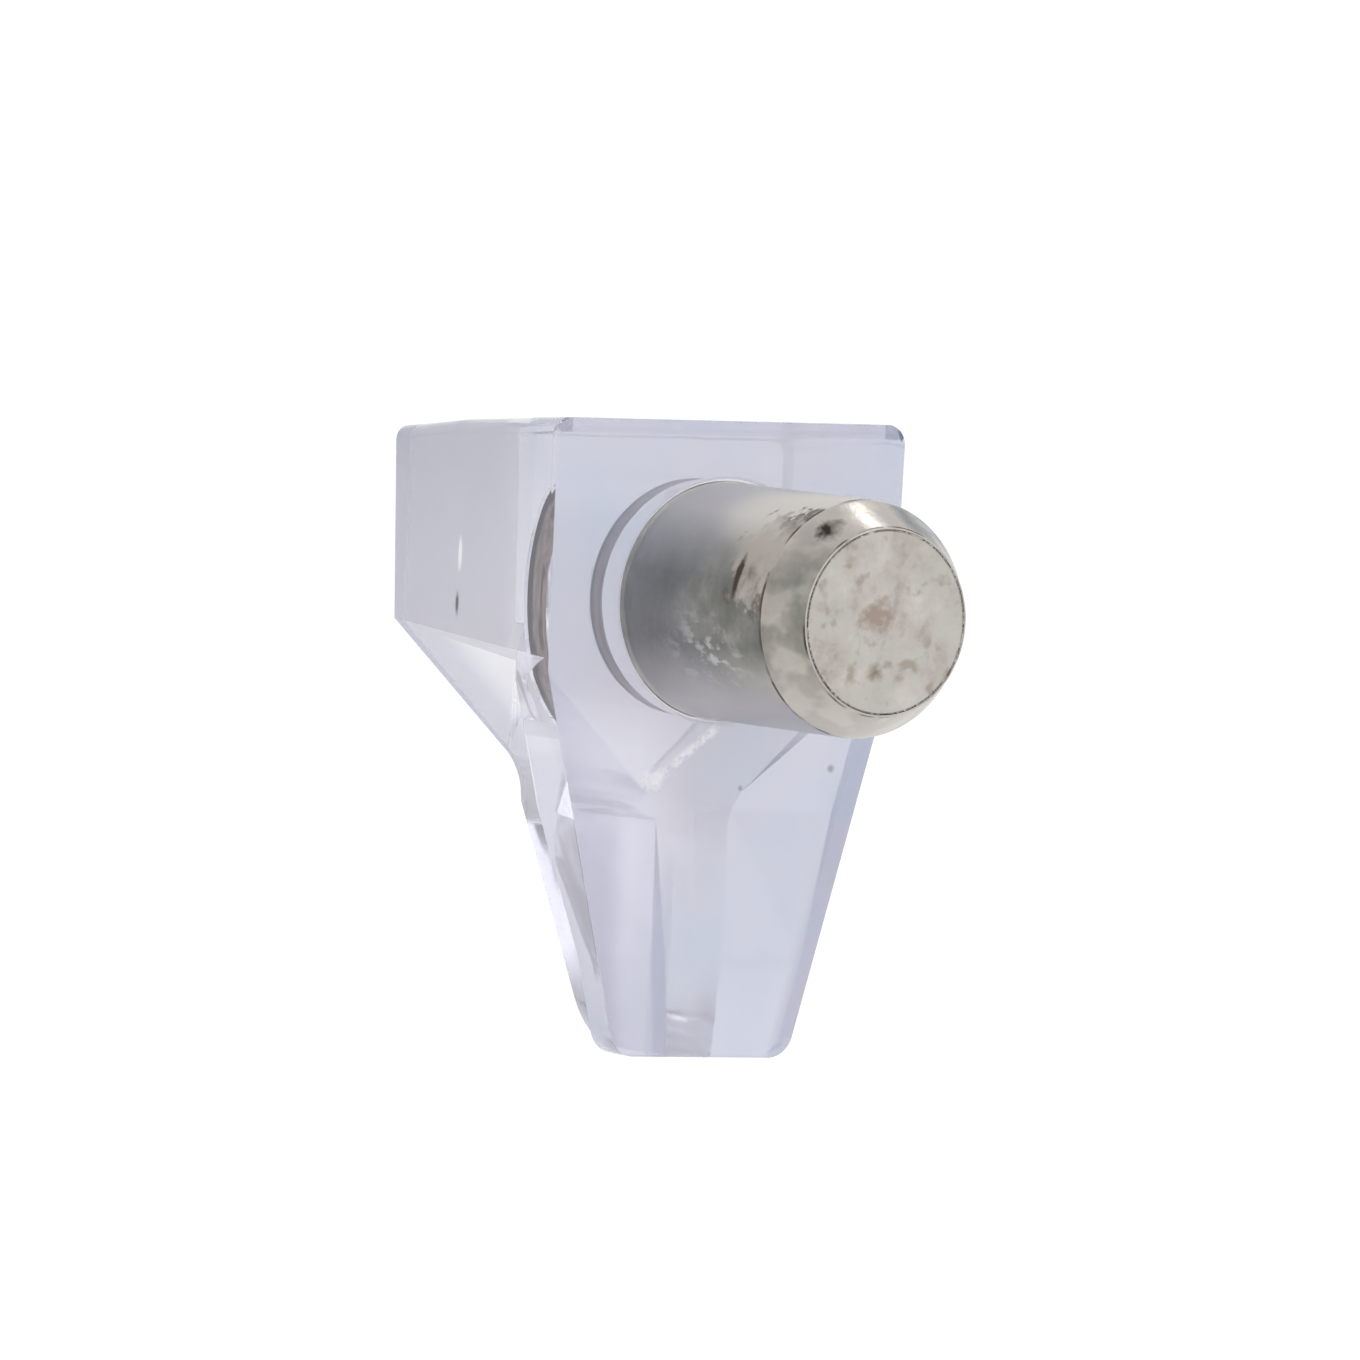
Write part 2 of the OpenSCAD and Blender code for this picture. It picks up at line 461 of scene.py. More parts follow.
def cut_plate(sizes, keel_end):
    """The plate: its outline, its rounded corners and its thinning foot."""
    spare = 0.3 * MM
    foot, top = -BODY_LOW.z, BODY_HIGH.z
    half_top = BODY_HIGH.x
    half_mid, half_foot = sizes.plate_mid_w / 2, sizes.plate_foot_w / 2
    plate = block("plate", (-half_top - spare, 0, -foot), (half_top + spare, sizes.plate_t, top))
    cut_sides(plate, sizes)
    for side in LEFT_AND_RIGHT:
        lower = Vector((half_mid - half_foot, 0, foot - sizes.plate_waist_d))
        cut_off(plate, (side * half_mid, 0, -sizes.plate_waist_d),
                (side * lower.z, 0, -lower.x))
    round_edges(
        plate,
        lambda a, b: near(a.z, b.z) and near(abs(a.y - b.y), sizes.plate_t)
        and (near(a.z, top) or near(a.z, -foot)),
        sizes.plate_corner_r, 10,
    )
    # below the keel the plate thins, and the last 40% of its height is thin already
    thin = keel_end + (foot - keel_end) * 0.6
    cut_across(plate, -keel_end)
    cut_across(plate, -thin)
    pick_points(plate, lambda p: p.y > sizes.plate_t / 2 and p.z < -thin + 0.01 * MM)
    bpy.ops.transform.translate(value=(0, sizes.foot_t - sizes.plate_t, 0))
    bpy.ops.object.mode_set(mode="OBJECT")
    return plate


def mould_body(sizes):
    """The whole moulding, drilled for the pin."""
    keel_end, rear_tip, rear_y, rear_top = keel_depths(sizes)
    top, depth = BODY_HIGH.z, BODY_HIGH.y
    top_fall = math.tan(sizes.top_draft)
    body = cut_ledge(sizes)
    combine(body, cut_rib(sizes, keel_end, rear_tip, rear_y), "UNION")
    # the rear face leans in below its upper edge, and the top falls to a lower nose
    cut_off(body, (0, depth, rear_top), (0, math.cos(sizes.rear_draft),
                                         -math.sin(sizes.rear_draft)))
    top_normal = Vector((0, top_fall, 1))
    nose_y = depth - sizes.nose_l
    nose_fall = top_fall + sizes.nose_drop / sizes.nose_l
    cut_off(body, (0, 0, top), top_normal)
    cut_off(body, (0, nose_y, top - nose_y * top_fall), (0, nose_fall, 1))
    tidy_faces(body)
    # blend where the keel's faces run into the rib, along the two long edges
    half_rib = sizes.rib_top_w / 2
    round_edges(
        body,
        lambda a, b: abs(a.y - b.y) > 4 * MM and both(
            lambda p: abs(p.x) < half_rib + 0.1 * MM and p.z < -keel_end + 0.9 * MM
            and p.z > -keel_end - 0.2 * MM, a, b),
        sizes.root_l, 6,
    )
    # upper side edges of the ledge
    half_ledge = BODY_HIGH.x
    round_edges(
        body,
        lambda a, b: abs(a.y - b.y) > 1 * MM and both(
            lambda p: abs(p.x) > half_ledge - 0.5 * MM and p.z > 2.5 * MM, a, b),
        sizes.shoulder_r, 6,
    )
    plate = cut_plate(sizes, keel_end)
    cut_off(plate, (0, 0, top), top_normal)
    # known fault: the ledge starts a few thousandths of a millimetre proud of the plate.
    # finish_body turns that step into slivers and, near the top, two faces back to back.
    combine(body, plate, "UNION")
    tidy_faces(body)
    return body


def finish_body(body, sizes):
    """Rounds the remaining edges, drills the blind bore and shades the flats flat."""
    # the joints between faces that meet at less than 27 degrees stay as they are
    apply_modifier(body, "BEVEL", width=sizes.edge_r, segments=3, limit_method="ANGLE",
                   angle_limit=math.radians(27))
    # the plastic grips the pin's inner part with no air between, and stands free elsewhere
    grip_r = PIN_HIGH.x - sizes.grip
    drill = turned([
        (-1 * MM, sizes.bore_r), (sizes.grip_start, sizes.bore_r),
        (sizes.grip_start + 0.1 * MM, grip_r), (PIN_HIGH.y + sizes.grip, grip_r),
    ])
    combine(body, drill, "DIFFERENCE")
    round_edges(
        body,
        lambda a, b: both(
            lambda p: near(p.y, 0) and near(math.hypot(p.x, p.z), sizes.bore_r), a, b),
        sizes.mouth_r, 3,
    )
    smooth(body, angle=40)


class SHELF_OT_moulding(bpy.types.Operator):
    """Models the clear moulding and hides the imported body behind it."""

    bl_idname = "shelf.moulding"
    bl_label = "Mould the clear body"

    def execute(self, context):
        sizes = context.scene.moulding_sizes
        body = mould_body(sizes)
        finish_body(body, sizes)
        body.name = body.data.name = "clear_moulding"
        body.data.materials.clear()
        body.data.materials.append(clear_acrylic(sizes, context.scene.finishes))
        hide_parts("support_body")
        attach(body, "root")
        return {"FINISHED"}


# ---------------------------------------------------------------------------------------------
# The pin


def turn_pin(sizes, finishes):
    """The pin, turned from its inner end to its tip, with a slightly dished end face."""
    radius = PIN_HIGH.x
    inner, tip = PIN_HIGH.y, PIN_LOW.y
    root = radius - sizes.groove_depth
    groove_end = sizes.groove_in + sizes.groove_l
    tip_r = radius - sizes.tip_in
    shoulder = tip + sizes.tip_l
    ease = sizes.tip_ease
    slope = Vector((sizes.tip_in, sizes.tip_l)).normalized() * ease
    pin = turned([
        # the bevelled inner end and the groove
        (inner, radius - sizes.inner_bevel), (inner - sizes.inner_bevel, radius),
        (groove_end, radius), (groove_end, root), (sizes.groove_in, root),
        (sizes.groove_in, radius),
        # the eased shoulder, where the taper starts
        (shoulder + ease, radius), (shoulder, radius - slope.x * 0.35),
        (shoulder - slope.y, radius - slope.x),
        # the eased edge of the end face
        (tip + ease * 0.9, tip_r + ease * 0.45), (tip + ease * 0.25, tip_r + ease * 0.1),
        (tip, tip_r - ease * 0.5),
    ])
    # rings of faces for the dents. Known fault: the limit of -0.9 picks the eased edge too, so
    # the rings fold back and forth at the rim, and the dents reach only the rim and the centre.
    # A limit of -0.99 picks the end face alone.
    pick_faces(pin, lambda middle, way: near(middle.y, tip) and way.y < -0.9)
    rings = 44
    for _ in range(rings):
        bpy.ops.mesh.inset(thickness=tip_r * 0.96 / rings)
    bpy.ops.mesh.poke()
    bpy.ops.object.mode_set(mode="OBJECT")
    # the dents are shallower along the rim
    face = pin.vertex_groups.new(name="end_face")
    for point in pin.data.vertices:
        away = math.hypot(point.co.x, point.co.z)
        if point.co.y < tip + 0.3 * ease and away < tip_r:
            face.add([point.index], min(1.0, (tip_r - away) / (0.1 * MM) + 0.15), "REPLACE")
    dents = bpy.data.textures.new("end_face_dents", "CLOUDS")
    dents.noise_scale, dents.noise_depth = sizes.dent_w, 3
    apply_modifier(pin, "DISPLACE", texture=dents, texture_coords="LOCAL", direction="Y",
                   vertex_group="end_face", strength=sizes.dent_depth, mid_level=-0.5)
    smooth(pin, angle=50)
    for finish in (plated_steel(sizes, finishes), worn_tip(finishes), sheared_end(finishes)):
        pin.data.materials.append(finish)
    for patch in pin.data.polygons:
        away = math.hypot(patch.center.x, patch.center.z)
        if patch.center.y < shoulder:
            patch.material_index = 2 if away < tip_r else 1
    return pin


class SHELF_OT_pin(bpy.types.Operator):
    """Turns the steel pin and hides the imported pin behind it."""

    bl_idname = "shelf.pin"
    bl_label = "Turn the steel pin"

    def execute(self, context):
        pin = turn_pin(context.scene.pin_sizes, context.scene.finishes)
        pin.name = pin.data.name = "plated_pin"
        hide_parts("steel_pin")
        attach(pin, "root")
        return {"FINISHED"}


# ---------------------------------------------------------------------------------------------
# Finishes


def wire(tree, node, sockets):
    """Gives each input of a node a value, or the node or output that feeds it.

    A node feeds with its first output in use. Of a colour Mix, input 0 is the amount, and 6 and
    7 are the two colours; of a number Mix, 2 and 3 are the two numbers.
    """
    for key, value in sockets.items():
        if isinstance(value, bpy.types.Node):
            value = next(output for output in value.outputs if output.enabled)
        if isinstance(value, bpy.types.NodeSocket):
            tree.links.new(value, node.inputs[key])
        else:
            node.inputs[key].default_value = value


def add_node(tree, kind, sockets=None, stops=(), **settings):
    """Adds a node with its settings and links. stops are a colour ramp's (position, colour)."""
    node = tree.nodes.new(kind)
    for key, value in settings.items():
        setattr(node, key, value)
    wire(tree, node, sockets or {})
    for count, (position, shade) in enumerate(stops):
        points = node.color_ramp.elements
        point = points[count] if count < len(points) else points.new(position)
        point.position, point.color = position, shade
    return node


def new_finish(name, **shader_values):
    """(material, its tree, its shader, its Object coordinates) with the shader's own values."""
    finish = bpy.data.materials.new(name)
    finish.use_nodes = True
    tree = finish.node_tree
    shader = tree.nodes["Principled BSDF"]
    for key, value in shader_values.items():
        shader.inputs[key.replace("_", " ")].default_value = value
    place = add_node(tree, "ShaderNodeTexCoord").outputs["Object"]
    return finish, tree, shader, place


def grey(level):
    """An RGBA grey of this linear level."""
    return (level, level, level, 1.0)


def rgba(shade):
    """An RGBA tuple of a colour property."""
    return tuple(shade) + (1.0,)


def zone(tree, *limits):
    """1 inside a region and 0 outside it.

    Each limit is a length, with the two values in mm between which the region starts.
    """
    inside = 1.0
    for distance, start, end in limits:
        rise = add_node(tree, "ShaderNodeMapRange", {0: distance, 1: start * MM, 2: end * MM})
        inside = add_node(tree, "ShaderNodeMath", {0: inside, 1: rise}, operation="MULTIPLY")
    return inside


def spot(tree, place, middle, reach, ragged=0.35, soft=0.25, squeeze=(1, 1, 1)):
    """1 inside a ball round a point in mm, and 0 beyond its reach in mm.

    ragged is how far its outline strays, and soft how much of it fades, as shares of its reach.
    squeeze makes it narrower along X, Y and Z by these factors.
    """
    away = add_node(tree, "ShaderNodeVectorMath", {0: place, 1: Vector(middle) * MM},
                    operation="SUBTRACT")
    away = add_node(tree, "ShaderNodeVectorMath", {0: away, 1: squeeze}, operation="MULTIPLY")
    away = add_node(tree, "ShaderNodeVectorMath", {0: away}, operation="LENGTH")
    grain = add_node(tree, "ShaderNodeTexNoise", {
        "Vector": place, "Scale": 1 / (0.5 * MM), "Detail": 4.0, "Roughness": 0.65,
    })
    wobble = add_node(tree, "ShaderNodeMapRange", {
        0: grain, 3: -ragged * reach * 2 * MM, 4: ragged * reach * 2 * MM,
    })
    away = add_node(tree, "ShaderNodeMath", {0: away, 1: wobble})
    return zone(tree, (away, reach, reach * (1 - soft)))


def broken(tree, place, mask):
    """The mask, broken up into ragged stretches about a millimetre long."""
    gaps = add_node(tree, "ShaderNodeTexNoise", {
        "Vector": place, "Scale": 1 / (1.3 * MM), "Detail": 3.0, "Roughness": 0.6,
    })
    gaps = add_node(tree, "ShaderNodeMapRange", {0: gaps, 1: 0.47, 2: 0.56})
    return add_node(tree, "ShaderNodeMath", {0: mask, 1: gaps}, operation="MULTIPLY")


def layered(tree, shade, layers):
    """The colour with each layer laid over it. A layer is its cover and its own colour."""
    for cover, over in layers:
        shade = add_node(tree, "ShaderNodeMix", {0: cover, 6: shade, 7: over}, data_type="RGBA")
    return shade


def clear_acrylic(sizes, finishes):
    """Injection-moulded clear acrylic: it refracts, and its faint haze and tint show lavender."""
    finish, tree, shader, place = new_finish(
        "clear_acrylic", IOR=1.49, Transmission_Weight=CLEARNESS, Roughness=POLISH,
    )
    x, y, z = add_node(tree, "ShaderNodeSeparateXYZ", {0: place}).outputs
    half = add_node(tree, "ShaderNodeMath", {0: x}, operation="ABSOLUTE")
    inside = add_node(tree, "ShaderNodeNewGeometry").outputs["Backfacing"]
    plate_back = sizes.plate_t / MM
    front = zone(tree, (y, *FRONT))
    # the flanks, with the narrow margins of the top and the rear face beside them
    side = zone(tree, (half, 3.87, 3.88))
    leg = zone(tree, (y, plate_back - 0.03, plate_back - 0.04), (z, -2.0, -3.5))

    # the keel's two faces, found within 0.08 mm: with left folded onto right and low onto high,
    # all their points lie keel_reach along this direction
    keel_way = (math.sin(sizes.keel_slope), math.tan(sizes.keel_draft),
                math.cos(sizes.keel_slope))
    keel_reach = sizes.keel_reach / MM
    keel = add_node(tree, "ShaderNodeVectorMath", {0: place}, operation="ABSOLUTE")
    keel = add_node(tree, "ShaderNodeVectorMath", {0: keel, 1: keel_way},
                    operation="DOT_PRODUCT")
    keel = zone(tree, (keel, keel_reach - 0.08, keel_reach - 0.05),
                (keel, keel_reach + 0.07, keel_reach + 0.04),
                (y, plate_back + 0.05, plate_back + 0.1), (z, -0.6, -0.8))

    # the strip along the leg's right edge, where its side shows through the face as a dark band;
    # painted light: it is made hazier below, so the flat tint covers that dark
    rim_way = Vector((-BODY_LOW.z - sizes.plate_waist_d, 0,
                      (sizes.plate_foot_w - sizes.plate_mid_w) / 2)).normalized()
    rim_reach = rim_way.dot((sizes.plate_mid_w / 2, 0, -sizes.plate_waist_d)) / MM
    rim = add_node(tree, "ShaderNodeVectorMath", {0: place, 1: rim_way},
                   operation="DOT_PRODUCT")
    rim = zone(tree, (rim, rim_reach - 0.55, rim_reach - 0.35), (z, -1.6, -2.4), (y, *FRONT))

    # the strip where the rib's left side shows through the face; painted light: it is made hazier
    # below, so the flat tint covers the side's dark
    rib_strip = zone(tree, (x, -1.42, -1.34), (x, -0.86, -0.94), (z, -5.2, -6.6), (y, *FRONT))

    # the tints: flow in the mould left broad, faint clouds, 3 mm across
    clouds = add_node(tree, "ShaderNodeTexNoise", {"Vector": place, "Scale": 1 / (3 * MM)})
    clouds = add_node(tree, "ShaderNodeMapRange", {0: clouds, 1: 0.36, 2: 0.64})
    # painted light: the face is painted palest at its lower left, below the pin
    lit_low_left = zone(tree, (x, -0.6, -1.9), (z, -1.8, -3.2), (z, -9.0, -4.8))
    skin = layered(tree, rgba(finishes.skin_cool), (
        (clouds, rgba(finishes.skin_warm)), (lit_low_left, rgba(finishes.skin_lit_low)),
    ))
    flank = layered(tree, rgba(finishes.side_cool), (
        (clouds, rgba(finishes.side_warm)),
        # painted light: the flanks are painted paler below the pin
        (zone(tree, (z, 3.5, -1.5)), rgba(finishes.side_lit_low)),
    ))
    # painted shade: the other faces are painted darker toward the rear, away from the plate
    core = layered(tree, rgba(finishes.core), (
        (zone(tree, (y, 2.4, 4.2)), rgba(finishes.rear)),
        # painted shade: the rib's rear edge is painted the darkest
        (zone(tree, (y, 2.6, 3.4), (z, -4.4, -5.0)), linear("a9a9ba")),
    ))
    # painted shade: the keel's faces are palest near the plate, and painted darker and cooler
    # toward the rear
    underside = layered(tree, linear("f4f3ff"), ((zone(tree, (y, 3.4, 5.0)), linear("c4c3db")),))

    # painted glints: beads of light, 0.25 mm across, run up from the keel's tip, with a brighter
    # spot at the tip
    rise = math.radians(37.44)
    across = add_node(tree, "ShaderNodeVectorMath", {
        0: place, 1: (-math.sin(rise), 0.0, math.cos(rise)),
    }, operation="DOT_PRODUCT")
    across = add_node(tree, "ShaderNodeMath", {0: across, 1: 2.11 * MM})
    across = add_node(tree, "ShaderNodeMath", {0: across}, operation="ABSOLUTE")
    along = add_node(tree, "ShaderNodeVectorMath", {
        0: place, 1: (math.cos(rise), 0.0, math.sin(rise)),
    }, operation="DOT_PRODUCT")
    line = zone(tree, (across, 0.14, 0.04), (along, -3.5, -3.4), (along, -1.3, -1.8))
    grain = add_node(tree, "ShaderNodeTexNoise", {"Vector": place, "Scale": 1 / (0.25 * MM)})
    grain = add_node(tree, "ShaderNodeMapRange", {0: grain, 1: 0.38, 2: 0.54})
    glint_beads = add_node(tree, "ShaderNodeMath", {0: line, 1: grain}, operation="MULTIPLY")
    glint_beads = add_node(tree, "ShaderNodeMath", {
        0: glint_beads, 1: spot(tree, place, (-1.52, 0.0, -3.78), reach=0.28, ragged=0.8, soft=0.9),
    }, operation="MAXIMUM")
    glint_beads = add_node(tree, "ShaderNodeMath", {0: glint_beads, 1: front}, operation="MULTIPLY")

    # a light mark and a dark mark on the left flank, and two specks of dirt on the face
    light_mark = spot(tree, place, (-4.1, 4.02, 0.65), reach=0.45, ragged=0.1, soft=0.5,
                   squeeze=(1, 4, 1))
    dark_mark = spot(tree, place, (-4.1, 4.07, -0.4), reach=0.32, ragged=0.1, soft=0.6,
                squeeze=(1, 3, 1))
    speck_right = spot(tree, place, (2.87, 0.0, -3.5), reach=0.11, ragged=0.2, soft=0.6)
    speck_low = spot(tree, place, (0.64, 0.0, -3.94), reach=0.08, ragged=0.2, soft=0.6)
    tint = layered(tree, core, (
        (keel, underside), (side, flank), (leg, skin), (front, skin), (glint_beads, linear("f1eff8")),
        (light_mark, linear("fbfaff")), (dark_mark, linear("1d1c24")),
        (speck_right, linear("7c7c86")), (speck_low, linear("7c7c86")),
        # a face takes its tint once, from outside, so light that leaves through it stays clear
        (inside, linear("fdfdff")),
    ))

    # the haze of the outer faces lies over what shows through them
    clear = CLEARNESS
    for cover, share_through in (
        (keel, 0.72), (side, 0.85), (leg, 0.4), (front, 0.62), (rim, 0.2), (rib_strip, 0.3),
        # painted glints: the beads are made less clear so their pale colour shows
        (glint_beads, 0.25), (inside, 0.98),
    ):
        clear = add_node(tree, "ShaderNodeMix", {0: cover, 2: clear, 3: share_through})

    # matt at the foot, which was cut from its runner, and at the rear, where ejectors push
    depth = BODY_HIGH.y / MM
    matt = POLISH
    for cover, dullness in (
        (zone(tree, (z, -7.6, -9.0), (y, 0.85, 1.3)), 0.2),
        (zone(tree, (y, depth - 0.75, depth - 0.6)), 0.6),
    ):
        matt = add_node(tree, "ShaderNodeMix", {0: cover, 2: matt, 3: dullness})

    # the faces sank a little as they cooled, in waves 1.6 mm wide
    waves = add_node(tree, "ShaderNodeTexNoise", {
        "Vector": place, "Scale": 1 / (1.6 * MM), "Detail": 1.0,
    })
    waves = add_node(tree, "ShaderNodeBump", {"Height": waves, "Distance": 0.012 * MM})
    wire(tree, shader, {
        "Base Color": tint, "Transmission Weight": clear, "Roughness": matt, "Normal": waves,
    })
    return finish


def plated_steel(sizes, finishes):
    """Nickel plating on turned steel: a mid-grey metal, satin from turning, scuffed by use."""
    finish, tree, shader, place = new_finish("plated_steel", Metallic=1.0, Roughness=0.3)
    _, y, z = add_node(tree, "ShaderNodeSeparateXYZ", {0: place}).outputs
    height = add_node(tree, "ShaderNodeMath", {0: z}, operation="ABSOLUTE")
    # the plating is unevenly bright, in clouds 0.9 mm across
    cloud = add_node(tree, "ShaderNodeTexNoise", {
        "Vector": place, "Scale": 1 / (0.9 * MM), "Detail": 5.0, "Roughness": 0.65,
    })
    plating = add_node(tree, "ShaderNodeValToRGB", {0: cloud}, stops=(
        (0.3, rgba(finishes.plating_dark)), (0.5, rgba(finishes.plating_mid)),
        (0.7, rgba(finishes.plating_light)),
    ))
    # painted reflection of the plate: it is a little paler toward its base
    plate_reflection = zone(tree, (y, -3.5, -0.5))
    plate_reflection = add_node(tree, "ShaderNodeMath", {0: plate_reflection, 1: 0.28}, operation="MULTIPLY")

    # a patch beside the tip is worn through the plating, with a ragged dark outline
    patch = (-2.0, -5.0, 1.2)
    worn = spot(tree, place, patch, reach=1.25, ragged=0.4, soft=0.15)
    worn = add_node(tree, "ShaderNodeMath", {
        0: worn, 1: add_node(tree, "ShaderNodeMapRange", {0: cloud, 1: 0.4, 2: 0.56, 3: 0.35}),
    }, operation="MULTIPLY")
    outline = spot(tree, place, patch, reach=1.36, ragged=0.4, soft=0.1)
    outline = broken(tree, place, outline)
    dashes = [
        (spot(tree, place, middle, reach, ragged=0.5, soft=0.5, squeeze=(1, 4, 1)),
         linear("463a34"))
        for middle, reach in (((-2.4, -4.25, 0.8), 0.55), ((-2.5, -5.45, 0.15), 0.4))
    ]

    # fine scratches along its lower side, drawn as coarse as they need to show, 0.28 mm apart
    streaks = add_node(tree, "ShaderNodeMapping", {"Vector": place, "Scale": (1, 0.45, 1)})
    streaks = add_node(tree, "ShaderNodeTexNoise", {
        "Vector": streaks, "Scale": 1 / (0.28 * MM), "Detail": 3.0, "Roughness": 0.6,
    })
    streaks = add_node(tree, "ShaderNodeMapRange", {0: streaks, 1: 0.5, 2: 0.62})
    scuffed = spot(tree, place, (-2.2, -3.0, -1.2), reach=1.3, ragged=0.3, soft=0.7,
                   squeeze=(1, 0.7, 1))
    streaks = add_node(tree, "ShaderNodeMath", {0: streaks, 1: scuffed}, operation="MULTIPLY")

    # streaks of tarnish where the plastic grips it, 0.6 mm wide
    stain = add_node(tree, "ShaderNodeMapping", {"Vector": place, "Scale": (1, 2.5, 0.4)})
    stain = add_node(tree, "ShaderNodeTexNoise", {
        "Vector": stain, "Scale": 1 / (0.6 * MM), "Detail": 3.0, "Roughness": 0.6,
    })
    stain = add_node(tree, "ShaderNodeValToRGB", {0: stain}, stops=(
        (0.4, linear("8a7a72")), (0.5, linear("a5978f")), (0.62, linear("5e4638")),
    ))
    # a broken dark line runs round the shoulder of the tip
    shoulder = (PIN_LOW.y + sizes.tip_l) / MM + 0.02
    shoulder_line = zone(tree, (y, shoulder - 0.06, shoulder - 0.04),
                         (y, shoulder + 0.06, shoulder + 0.04))
    shade = layered(tree, plating, (
        # painted reflection: lighter along its upper and lower sides, which face the bright top
        # and floor
        (zone(tree, (height, 0.7, 2.0)), linear("c4c1bc")),
        (plate_reflection, linear("d0d0d0")), (outline, linear("5b514b")), (worn, linear("aca59d")),
        *dashes, (streaks, linear("bcbcba")),
        (broken(tree, place, shoulder_line), linear("5b514b")),
        # in the bore: stained, then painted shade at the inner edge, and painted light on the
        # inner end
        (zone(tree, (y, 0.9, 1.4)), stain), (zone(tree, (y, 1.9, 2.0)), linear("35302e")),
        (zone(tree, (y, 2.24, 2.28)), linear("dad9d6")),
    ))
    # turning marks, drawn as coarse as they need to show, 0.25 mm apart
    marks = add_node(tree, "ShaderNodeMapping", {"Vector": place, "Scale": (1, 0.25, 1)})
    marks = add_node(tree, "ShaderNodeTexNoise", {
        "Vector": marks, "Scale": 1 / (0.25 * MM), "Detail": 3.0, "Roughness": 0.6,
    })
    marks = add_node(tree, "ShaderNodeBump", {"Height": marks, "Distance": 0.006 * MM})
    wire(tree, shader, {"Base Color": shade, "Normal": marks})
    return finish


def worn_tip(finishes):
    """The tapered tip, where the plating has rubbed to a warmer, duller metal."""
    finish, tree, shader, place = new_finish("worn_tip", Metallic=1.0, Roughness=0.24)
    _, y, z = add_node(tree, "ShaderNodeSeparateXYZ", {0: place}).outputs
    height = add_node(tree, "ShaderNodeMath", {0: z}, operation="ABSOLUTE")
    cloud = add_node(tree, "ShaderNodeTexNoise", {
        "Vector": place, "Scale": 1 / (0.8 * MM), "Detail": 4.0, "Roughness": 0.6,
    })
    rubbed = add_node(tree, "ShaderNodeValToRGB", {0: cloud}, stops=(
        (0.3, rgba(finishes.tip_dark)), (0.5, rgba(finishes.tip_mid)),
        (0.75, rgba(finishes.tip_light)),
    ))
    # the plating is rubbed through in patches 0.7 mm across
    patches = add_node(tree, "ShaderNodeTexNoise", {"Vector": place, "Scale": 1 / (0.7 * MM)})
    patches = add_node(tree, "ShaderNodeMapRange", {0: patches, 1: 0.46, 2: 0.6, 4: 0.4})
    # a dark line runs in broken stretches round the rim of the end face
    rim = PIN_LOW.y / MM + 0.03
    rim_line = zone(tree, (y, rim - 0.04, rim - 0.03), (y, rim + 0.04, rim + 0.03))
    dark_spot = spot(tree, place, (-1.2, -6.0, 1.95), reach=0.34, ragged=0.6, soft=0.6)
    # painted shade: a grey spot on the cone's upper right dims its reflection and cuts its
    # highlight short
    dimmed_reflection_spot = spot(tree, place, (1.3, -5.65, 2.05), reach=1.1, ragged=0.2, soft=0.45)
    shade = layered(tree, rubbed, (
        # painted reflection: lighter along its upper and lower sides
        (zone(tree, (height, 0.8, 2.1)), linear("b5afaa")),
        (dark_spot, linear("3a322e")), (dimmed_reflection_spot, linear("6a6f73")),
        (patches, linear("cfc9c0")), (broken(tree, place, rim_line), linear("54423a")),
    ))
    # knocks from use, 0.3 mm across
    dents = add_node(tree, "ShaderNodeTexNoise", {
        "Vector": place, "Scale": 1 / (0.3 * MM), "Detail": 3.0,
    })
    dents = add_node(tree, "ShaderNodeBump", {"Height": dents, "Distance": 0.008 * MM})
    wire(tree, shader, {"Base Color": shade, "Normal": dents})
    return finish


def sheared_end(finishes):
    """The sheared end face: bare steel under a dull beige tarnish, with brown pits."""
    finish, tree, shader, place = new_finish("sheared_end", Metallic=0.45, Roughness=0.55)
    # beige tarnish in clouds 0.9 mm across, with greyer ones of 1.2 mm and pits of 0.3 mm
    cloud = add_node(tree, "ShaderNodeTexNoise", {
        "Vector": place, "Scale": 1 / (0.9 * MM), "Detail": 5.0, "Roughness": 0.65,
    })
    tarnish = add_node(tree, "ShaderNodeValToRGB", {0: cloud}, stops=(
        (0.25, rgba(finishes.end_dark)), (0.45, rgba(finishes.end_mid)),
        (0.7, rgba(finishes.end_light)),
    ))
    dull = add_node(tree, "ShaderNodeTexNoise", {
        "Vector": place, "Scale": 1 / (1.2 * MM), "Detail": 3.0, "Roughness": 0.6,
    })
    dull = add_node(tree, "ShaderNodeMapRange", {0: dull, 1: 0.46, 2: 0.56, 4: 0.6})
    pits = add_node(tree, "ShaderNodeTexNoise", {
        "Vector": place, "Scale": 1 / (0.34 * MM), "Detail": 2.0,
    })
    pits = add_node(tree, "ShaderNodeMapRange", {0: pits, 1: 0.42, 2: 0.26, 4: 0.7})
    # two brown stains, at the centre and below it
    end = PIN_LOW.y / MM
    centre_spot = spot(tree, place, (-0.25, end, 0.0), reach=0.42, ragged=1.2, soft=1.0)
    lower_spot = spot(tree, place, (-0.2, end, -1.05), reach=0.26, ragged=0.6, soft=0.9)
    shade = layered(tree, tarnish, (
        (dull, linear("bab9b2")),
        (centre_spot, linear("9f9086")), (lower_spot, linear("857565")),
        (pits, linear("978b80")),
    ))
    # the shear tore the steel in a grain of 0.2 mm
    grain = add_node(tree, "ShaderNodeTexNoise", {
        "Vector": place, "Scale": 1 / (0.22 * MM), "Detail": 4.0, "Roughness": 0.6,
    })
    grain = add_node(tree, "ShaderNodeBump", {"Height": grain, "Distance": 0.02 * MM})
    wire(tree, shader, {"Base Color": shade, "Normal": grain})
    return finish


# ---------------------------------------------------------------------------------------------
# The stage


def seen_directly(tree):
    """1 for what the eye, a reflection or a refraction meets, and 0 for what only lights."""
    path = add_node(tree, "ShaderNodeLightPath").outputs
    total = path["Is Camera Ray"]
    for kind in ("Is Glossy Ray", "Is Transmission Ray"):
        total = add_node(tree, "ShaderNodeMath", {0: total, 1: path[kind]}, operation="MAXIMUM")
    return total


